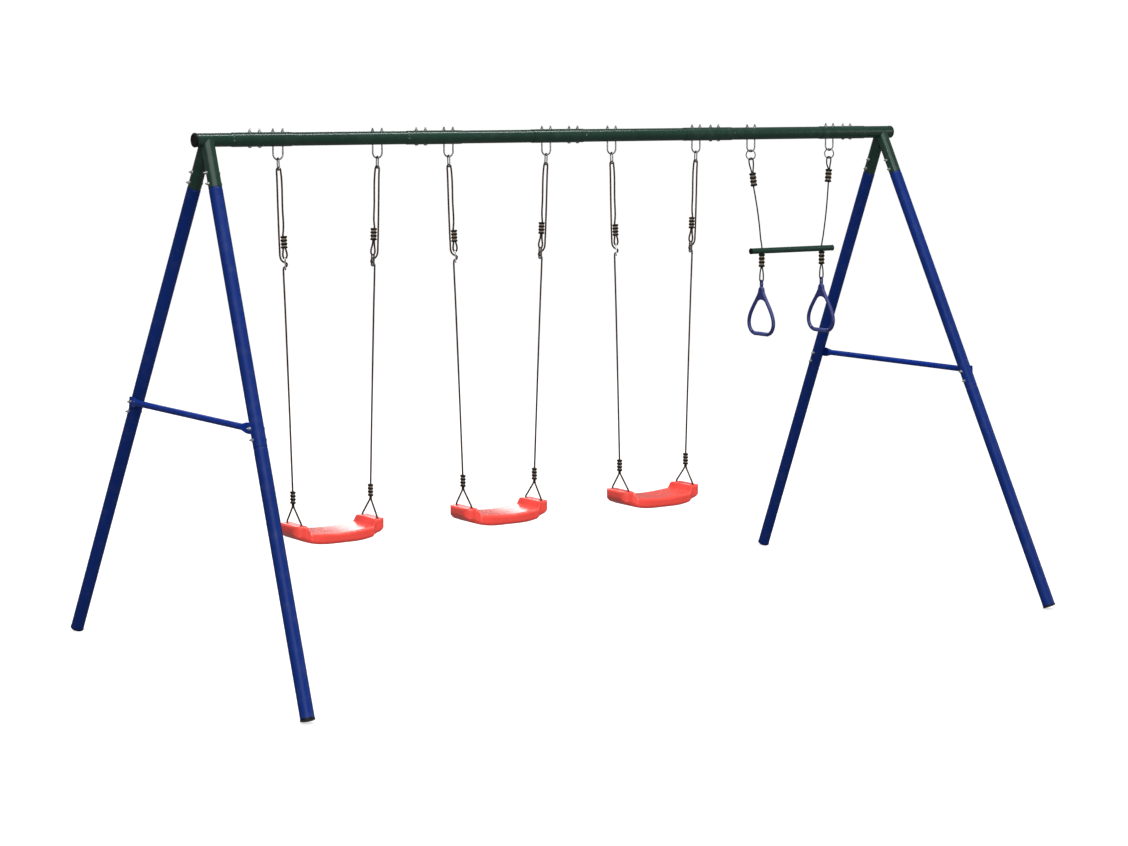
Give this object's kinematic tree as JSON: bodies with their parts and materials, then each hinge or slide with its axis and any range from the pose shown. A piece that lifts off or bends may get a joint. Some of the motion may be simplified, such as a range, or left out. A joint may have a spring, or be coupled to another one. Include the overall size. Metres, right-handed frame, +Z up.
{
  "type": "garden swing set",
  "caption": "Free-standing A-frame swing set: jointed crossbar on four braced legs, plank swings on ropes, and a trapeze bar with hanging gym rings.",
  "frame": {"origin": "on the ground, midway between the two A-frames, straight below the crossbar", "axes": "+X along the crossbar towards the trapeze, +Z up, -Y the front"},
  "size_m": [3.4962, 1.9016, 1.964],
  "materials": {
    "crossbar": "dark green gloss powder coat",
    "legs": "deep blue gloss powder coat",
    "braces": "deep blue gloss powder coat",
    "trapeze_bar": "dark green gloss powder coat",
    "caps": "black moulded plastic",
    "clamp": "black moulded plastic",
    "zinc_hardware": "bright zinc plating",
    "adjuster": "grey-beige moulded plastic",
    "swing_rope": "laid polypropylene rope, brown",
    "trapeze_cord": "braided cord, grey-green",
    "seat": "blow-moulded polyethylene, satin coral red",
    "gym_rings": "moulded plastic, satin blue-violet"
  },
  "bodies": {
    "frame": {"crossbar_end_left": "crossbar", "crossbar_end_right": "crossbar", "crossbar_tube_1": "crossbar", "crossbar_tube_2": "crossbar", "crossbar_tube_3": "crossbar", "crossbar_tube_4": "crossbar", "crossbar_caps": "caps", "crossbar_bolts": "zinc_hardware", "crossbar_nuts": "zinc_hardware", "u_bolts": "zinc_hardware", "u_bolt_nuts": "zinc_hardware", "washers": "zinc_hardware", "leg_upper_front_left": "legs", "leg_upper_back_left": "legs", "leg_upper_front_right": "legs", "leg_upper_back_right": "legs", "leg_lower_front_left": "legs", "leg_lower_back_left": "legs", "leg_lower_front_right": "legs", "leg_lower_back_right": "legs", "foot_caps": "caps", "leg_bolts": "zinc_hardware", "leg_nuts": "zinc_hardware", "brace_left": "braces", "brace_right": "braces"},
    "swing_1": {"swing_1_links": "zinc_hardware", "swing_1_rope_left": "swing_rope", "swing_1_rope_right": "swing_rope", "swing_1_upper_clamps": "clamp", "swing_1_adjusters": "adjuster", "swing_1_lower_clamps": "clamp"},
    "seat_1": {"swing_1_slings": "swing_rope", "swing_1_seat": "seat"},
    "swing_2": {"swing_2_links": "zinc_hardware", "swing_2_rope_left": "swing_rope", "swing_2_rope_right": "swing_rope", "swing_2_upper_clamps": "clamp", "swing_2_adjusters": "adjuster", "swing_2_lower_clamps": "clamp"},
    "seat_2": {"swing_2_slings": "swing_rope", "swing_2_seat": "seat"},
    "swing_3": {"swing_3_links": "zinc_hardware", "swing_3_rope_left": "swing_rope", "swing_3_rope_right": "swing_rope", "swing_3_upper_clamps": "clamp", "swing_3_adjusters": "adjuster", "swing_3_lower_clamps": "clamp"},
    "seat_3": {"swing_3_slings": "swing_rope", "swing_3_seat": "seat"},
    "trapeze": {"trapeze_links": "zinc_hardware", "trapeze_ropes": "trapeze_cord", "trapeze_upper_clamps": "clamp", "trapeze_bar": "trapeze_bar", "trapeze_bar_caps": "caps", "trapeze_lower_clamps": "clamp", "ring_loops": "trapeze_cord"},
    "ring_left": {"gym_ring_left": "gym_rings"},
    "ring_right": {"gym_ring_right": "gym_rings"}
  },
  "joints": [
    {"name": "swing_1_hinge", "type": "hinge", "parent": "frame", "child": "swing_1", "pos_m": [-1.096, 0, 1.851], "axis": [1, 0, 0], "range_deg": [-60, 60]},
    {"name": "seat_1_tilt", "type": "hinge", "parent": "swing_1", "child": "seat_1", "pos_m": [-1.096, 0, 0.579], "axis": [1, 0, 0], "range_deg": [-20, 20]},
    {"name": "swing_2_hinge", "type": "hinge", "parent": "frame", "child": "swing_2", "pos_m": [-0.3515, 0, 1.851], "axis": [1, 0, 0], "range_deg": [-60, 60]},
    {"name": "seat_2_tilt", "type": "hinge", "parent": "swing_2", "child": "seat_2", "pos_m": [-0.3515, 0, 0.579], "axis": [1, 0, 0], "range_deg": [-20, 20]},
    {"name": "swing_3_hinge", "type": "hinge", "parent": "frame", "child": "swing_3", "pos_m": [0.3935, 0, 1.851], "axis": [1, 0, 0], "range_deg": [-60, 60]},
    {"name": "seat_3_tilt", "type": "hinge", "parent": "swing_3", "child": "seat_3", "pos_m": [0.3935, 0, 0.579], "axis": [1, 0, 0], "range_deg": [-20, 20]},
    {"name": "trapeze_hinge", "type": "hinge", "parent": "frame", "child": "trapeze", "pos_m": [1.0955, 0, 1.851], "axis": [1, 0, 0], "range_deg": [-60, 60]},
    {"name": "gym_ring_left_hinge", "type": "hinge", "parent": "trapeze", "child": "ring_left", "pos_m": [0.949, 0, 1.3144], "axis": [1, 0, 0], "range_deg": [-50, 50]},
    {"name": "gym_ring_right_hinge", "type": "hinge", "parent": "trapeze", "child": "ring_right", "pos_m": [1.271, 0, 1.3144], "axis": [1, 0, 0], "range_deg": [-50, 50]}
  ]
}
